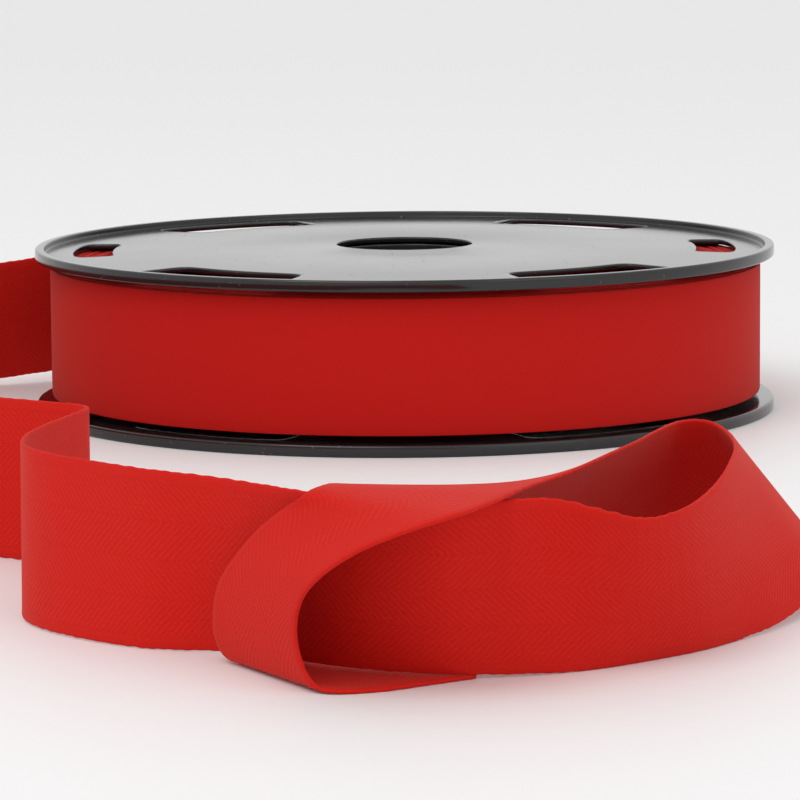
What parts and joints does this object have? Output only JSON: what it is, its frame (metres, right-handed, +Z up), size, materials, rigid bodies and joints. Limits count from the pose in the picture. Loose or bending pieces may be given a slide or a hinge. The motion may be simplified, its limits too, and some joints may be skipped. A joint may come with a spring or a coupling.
{
  "type": "roll of twill tape on a flanged reel",
  "caption": "Red herringbone twill tape wound on a black plastic reel, its loose end standing on edge in folds in front of it.",
  "frame": {"origin": "on the surface that the reel lies on, under the middle of the whole", "axes": "+Z up along the reel's axis, +Y from the loose end's folds towards the reel, +X to the right as seen from the folds"},
  "size_m": [0.1804, 0.366, 0.032],
  "materials": {
    "reel_plastic": "glossy black, moulded",
    "twill_tape": "red herringbone twill with plain selvedges"
  },
  "bodies": {
    "root": {"lower_flange": "reel_plastic", "upper_flange": "reel_plastic", "hub": "reel_plastic", "wound_tape": "twill_tape", "loose_end": "twill_tape"}
  },
  "joints": []
}
